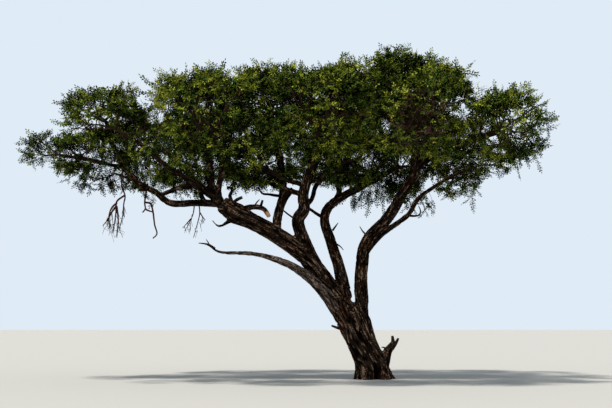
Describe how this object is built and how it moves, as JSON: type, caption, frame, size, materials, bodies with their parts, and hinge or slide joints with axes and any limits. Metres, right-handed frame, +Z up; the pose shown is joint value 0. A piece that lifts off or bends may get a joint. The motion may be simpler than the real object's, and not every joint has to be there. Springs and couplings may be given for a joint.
{
  "type": "umbrella acacia tree",
  "caption": "Old umbrella acacia: leaning low-forked trunk, spreading rising limbs, a wide flat-topped feathery crown and a bare dead limb.",
  "frame": {"origin": "middle of the flat cut under the trunk, at ground level", "axes": "+Z up, +X to the side away from the trunk's lean, along the crown's longest spread, -Y to the front"},
  "size_m": [16.3746, 10.3457, 9.958],
  "materials": {
    "bark": "rough dark brown bark with long fissures",
    "dead_wood": "weathered grey-brown dead wood",
    "foliage": "matt green feathery foliage on thin twigs"
  },
  "bodies": {
    "root": {"base_stump": "bark", "bough_back_centre": "bark", "bough_back_far_left": "bark", "bough_back_far_right": "bark", "bough_back_left": "bark", "bough_back_right": "bark", "bough_centre_left_low": "bark", "bough_centre_low": "bark", "bough_far_left": "bark", "bough_far_right": "bark", "bough_front_centre": "bark", "bough_front_far_left": "bark", "bough_front_far_right": "bark", "bough_front_left": "bark", "bough_front_right": "bark", "bough_left_low": "bark", "bough_midleft_low": "bark", "bough_midleft_top": "bark", "bough_upper_right": "bark", "broken_branch": "bark", "centre_limb": "bark", "dead_limb": "dead_wood", "hanging_twigs_left": "dead_wood", "hanging_twigs_middle": "dead_wood", "hanging_twigs_right": "dead_wood", "knuckle_stub": "bark", "leaves_back_centre": "foliage", "leaves_back_far_left": "foliage", "leaves_back_far_right": "foliage", "leaves_back_left": "foliage", "leaves_back_right": "foliage", "leaves_centre_left_low": "foliage", "leaves_centre_left_top": "foliage", "leaves_centre_low": "foliage", "leaves_centre_top": "foliage", "leaves_far_left": "foliage", "leaves_far_right": "foliage", "leaves_front_centre": "foliage", "leaves_front_far_left": "foliage", "leaves_front_far_right": "foliage", "leaves_front_left": "foliage", "leaves_front_right": "foliage", "leaves_left_low": "foliage", "leaves_left_top": "foliage", "leaves_midleft_low": "foliage", "leaves_midleft_top": "foliage", "leaves_right_low": "foliage", "leaves_right_mid": "foliage", "leaves_right_top": "foliage", "leaves_upper_right": "foliage", "left_arm": "bark", "left_limb": "bark", "low_right_limb": "bark", "middle_limb": "bark", "right_limb": "bark", "short_limb": "bark", "trunk": "bark"}
  },
  "joints": []
}
